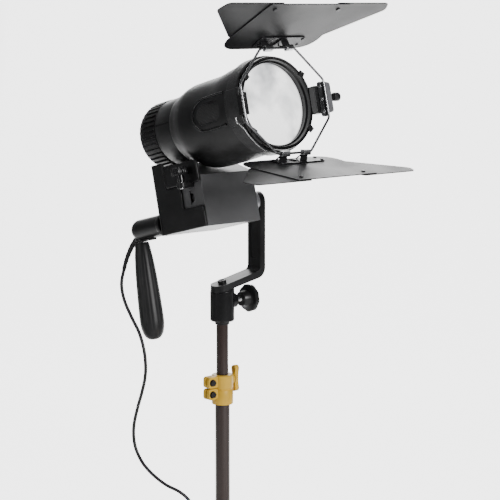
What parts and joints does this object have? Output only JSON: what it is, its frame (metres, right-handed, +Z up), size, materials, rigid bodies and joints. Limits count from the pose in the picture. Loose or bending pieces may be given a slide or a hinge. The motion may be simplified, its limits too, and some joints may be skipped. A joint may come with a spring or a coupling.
{
  "type": "follow spot",
  "caption": "Follow spot lamp with a round barrel, folding metal barn doors, control box and grip handle, held by a one-armed yoke on a telescopic tripod stand.",
  "frame": {"origin": "centre of the rectangle that the three feet cover, at floor level", "axes": "+Z up the pole; -Y the way the lens faces, with the barrel pitched 13.9 degrees above level; +X towards the yoke's arm"},
  "size_m": [0.5804, 0.5056, 0.9452],
  "materials": {
    "dark_tube": "dark brown-black enamel, glossy",
    "leg_tube": "dark brown-black finish",
    "strut_steel": "dark satin steel strip",
    "black_plastic": "fine grained moulding",
    "mustard_paint": "mustard yellow satin enamel",
    "bright_steel": "bright plated steel",
    "black_cast": "satin black paint on cast metal",
    "barrel_black": "satin black finish",
    "door_black": "matt black heat-proof paint",
    "grey_sheet": "dark grey metallic paint on sheet metal",
    "rubber_black": "soft matt",
    "bare_alloy": "plain",
    "lens_glass": "clear, pebbled back",
    "circuit_board": "green board"
  },
  "bodies": {
    "column": {"column_tube": "dark_tube", "column_plug": "black_plastic", "riser_collar": "mustard_paint", "collar_bolt_upper": "bright_steel", "collar_bolt_lower": "bright_steel"},
    "leg_carrier": {"leg_collar": "black_plastic"},
    "leg_collar_knob": {"leg_collar_knob": "black_plastic"},
    "riser_knob": {"riser_knob": "mustard_paint"},
    "riser": {"riser_tube": "dark_tube"},
    "yoke": {"yoke_socket": "black_cast", "yoke_bar": "black_cast", "yoke_bolt": "bright_steel", "power_lead": "rubber_black", "power_lead_coil": "rubber_black", "lead_connector": "black_plastic"},
    "clamp_knob": {"clamp_knob": "black_plastic", "clamp_screw": "bright_steel"},
    "head": {"tilt_bolt": "bright_steel", "tilt_washer": "bright_steel", "box_shell": "grey_sheet", "box_cover": "grey_sheet", "driver_board": "circuit_board", "side_moulding": "black_plastic", "saddle_clamp": "black_cast", "handle_arm": "black_plastic", "handle_grip": "rubber_black", "lead_gland": "rubber_black", "front_housing": "barrel_black", "badge_insert": "black_plastic", "rear_barrel": "barrel_black", "rear_grille": "barrel_black"},
    "dimmer": {"dimmer_wheel": "black_plastic"},
    "saddle_screw": {"saddle_screw": "black_cast"},
    "focus_ring": {"focus_ring": "barrel_black"},
    "led_carriage": {"heat_sink": "bare_alloy", "led_module": "bare_alloy"},
    "door_ring": {"bezel_ring": "barrel_black", "lens": "lens_glass", "lens_retainer": "bright_steel", "door_frame": "bright_steel", "frame_latch": "black_cast", "frame_clip": "black_cast"},
    "latch_knob": {"latch_knob": "bright_steel"},
    "top_door": {"top_leaf": "door_black", "top_hinge": "bright_steel"},
    "bottom_door": {"bottom_leaf": "door_black", "bottom_hinge": "bright_steel"},
    "top_wing_right": {"top_wing_right": "door_black"},
    "top_wing_left": {"top_wing_left": "door_black"},
    "bottom_wing_right": {"bottom_wing_right": "door_black"},
    "bottom_wing_left": {"bottom_wing_left": "door_black"},
    "leg_1": {"leg_1": "leg_tube", "foot_1": "rubber_black"},
    "strut_1": {"strut_1": "strut_steel"},
    "leg_2": {"leg_2": "leg_tube", "foot_2": "rubber_black"},
    "strut_2": {"strut_2": "strut_steel"},
    "leg_3": {"leg_3": "leg_tube", "foot_3": "rubber_black"},
    "strut_3": {"strut_3": "strut_steel"}
  },
  "joints": [
    {"name": "leg_collar_slide", "type": "slide", "parent": "column", "child": "leg_carrier", "axis": [0, 0, 1], "range_m": [0, 0.147]},
    {"name": "leg_1_fold", "type": "hinge", "parent": "leg_carrier", "child": "leg_1", "pos_m": [0, 0.0598, 0.16645], "axis": [1, 0, 0], "range_deg": [-0.1, 56.1]},
    {"name": "strut_1_fold", "type": "hinge", "parent": "leg_1", "child": "strut_1", "pos_m": [0, -0.06381, 0.10073], "axis": [1, 0, 0], "range_deg": [-112.2, 0.2]},
    {"name": "leg_2_fold", "type": "hinge", "parent": "leg_carrier", "child": "leg_2", "pos_m": [0.01732, 0.0898, 0.16645], "axis": [-0.5, 0.866, 0], "range_deg": [-0.1, 56.1]},
    {"name": "strut_2_fold", "type": "hinge", "parent": "leg_2", "child": "strut_2", "pos_m": [0.12437, 0.15161, 0.10073], "axis": [-0.5, 0.866, 0], "range_deg": [-112.2, 0.2]},
    {"name": "leg_3_fold", "type": "hinge", "parent": "leg_carrier", "child": "leg_3", "pos_m": [-0.01732, 0.0898, 0.16645], "axis": [-0.5, -0.866, 0], "range_deg": [-0.1, 56.1]},
    {"name": "strut_3_fold", "type": "hinge", "parent": "leg_3", "child": "strut_3", "pos_m": [-0.12437, 0.15161, 0.10073], "axis": [-0.5, -0.866, 0], "range_deg": [-112.2, 0.2]},
    {"name": "leg_collar_knob_turn", "type": "hinge", "parent": "leg_carrier", "child": "leg_collar_knob", "pos_m": [0, 0.0798, 0.16945], "axis": [0.866, -0.5, 0], "range_deg": [0, 360]},
    {"name": "riser_knob_turn", "type": "hinge", "parent": "column", "child": "riser_knob", "pos_m": [0, 0.0798, 0.4435], "axis": [1, 0, 0], "range_deg": [0, 540]},
    {"name": "riser_slide", "type": "slide", "parent": "column", "child": "riser", "axis": [0, 0, 1], "range_m": [-0.055, 0.25]},
    {"name": "yoke_pan", "type": "hinge", "parent": "riser", "child": "yoke", "pos_m": [0, 0.0798, 0.58], "axis": [0, 0, 1], "continuous": true},
    {"name": "clamp_knob_turn", "type": "hinge", "parent": "yoke", "child": "clamp_knob", "pos_m": [0, 0.0798, 0.5503], "axis": [1, 0, 0], "range_deg": [0, 540]},
    {"name": "head_tilt", "type": "hinge", "parent": "yoke", "child": "head", "pos_m": [0, 0.0798, 0.681], "axis": [1, 0, 0], "range_deg": [-18, 75], "deforming": ["power_lead"]},
    {"name": "dimmer_turn", "type": "hinge", "parent": "head", "child": "dimmer", "pos_m": [-0.035, 0.08627, 0.69258], "axis": [0, 0.2402, 0.9707], "range_deg": [0, 270]},
    {"name": "saddle_screw_turn", "type": "hinge", "parent": "head", "child": "saddle_screw", "pos_m": [-0.061, 0.09245, 0.72423], "axis": [0, 0.2402, 0.9707], "range_deg": [0, 540]},
    {"name": "focus_turn", "type": "hinge", "parent": "head", "child": "focus_ring", "pos_m": [0, 0.10582, 0.78613], "axis": [0, -0.9707, 0.2402], "range_deg": [-60, 60]},
    {"name": "led_travel", "type": "slide", "parent": "head", "child": "led_carriage", "axis": [0, -0.9707, 0.2402], "range_m": [-0.0121, 0.0121]},
    {"name": "door_ring_turn", "type": "hinge", "parent": "head", "child": "door_ring", "pos_m": [0, 0.10582, 0.78613], "axis": [0, -0.9707, 0.2402], "range_deg": [-90, 90]},
    {"name": "latch_knob_turn", "type": "hinge", "parent": "door_ring", "child": "latch_knob", "pos_m": [0, -0.03812, 0.82432], "axis": [1, 0, 0], "range_deg": [0, 180]},
    {"name": "top_door_fold", "type": "hinge", "parent": "door_ring", "child": "top_door", "pos_m": [0, -0.02806, 0.88828], "axis": [1, 0, 0], "range_deg": [-10, 100]},
    {"name": "bottom_door_fold", "type": "hinge", "parent": "door_ring", "child": "bottom_door", "pos_m": [0, -0.06025, 0.75821], "axis": [-1, 0, 0], "range_deg": [-6.5, 76.5]},
    {"name": "top_wing_right_fold", "type": "hinge", "parent": "top_door", "child": "top_wing_right", "pos_m": [0.053, -0.08919, 0.92633], "axis": [0, 0.5284, 0.849], "range_deg": [0, 50]},
    {"name": "top_wing_left_fold", "type": "hinge", "parent": "top_door", "child": "top_wing_left", "pos_m": [-0.053, -0.08919, 0.92633], "axis": [0, -0.5284, -0.849], "range_deg": [0, 50]},
    {"name": "bottom_wing_right_fold", "type": "hinge", "parent": "bottom_door", "child": "bottom_wing_right", "pos_m": [0.053, -0.13162, 0.74868], "axis": [0, -0.1323, 0.9912], "range_deg": [0, 50]},
    {"name": "bottom_wing_left_fold", "type": "hinge", "parent": "bottom_door", "child": "bottom_wing_left", "pos_m": [-0.053, -0.13162, 0.74868], "axis": [0, 0.1323, -0.9912], "range_deg": [0, 50]}
  ],
  "couplings": [
    {"joint": "leg_1_fold", "follows": "leg_collar_slide", "rad_per_m": 6.6489},
    {"joint": "strut_1_fold", "follows": "leg_collar_slide", "rad_per_m": -13.298},
    {"joint": "leg_2_fold", "follows": "leg_collar_slide", "rad_per_m": 6.6489},
    {"joint": "strut_2_fold", "follows": "leg_collar_slide", "rad_per_m": -13.298},
    {"joint": "leg_3_fold", "follows": "leg_collar_slide", "rad_per_m": 6.6489},
    {"joint": "strut_3_fold", "follows": "leg_collar_slide", "rad_per_m": -13.298},
    {"joint": "led_travel", "follows": "focus_turn", "m_per_rad": 0.011459}
  ]
}
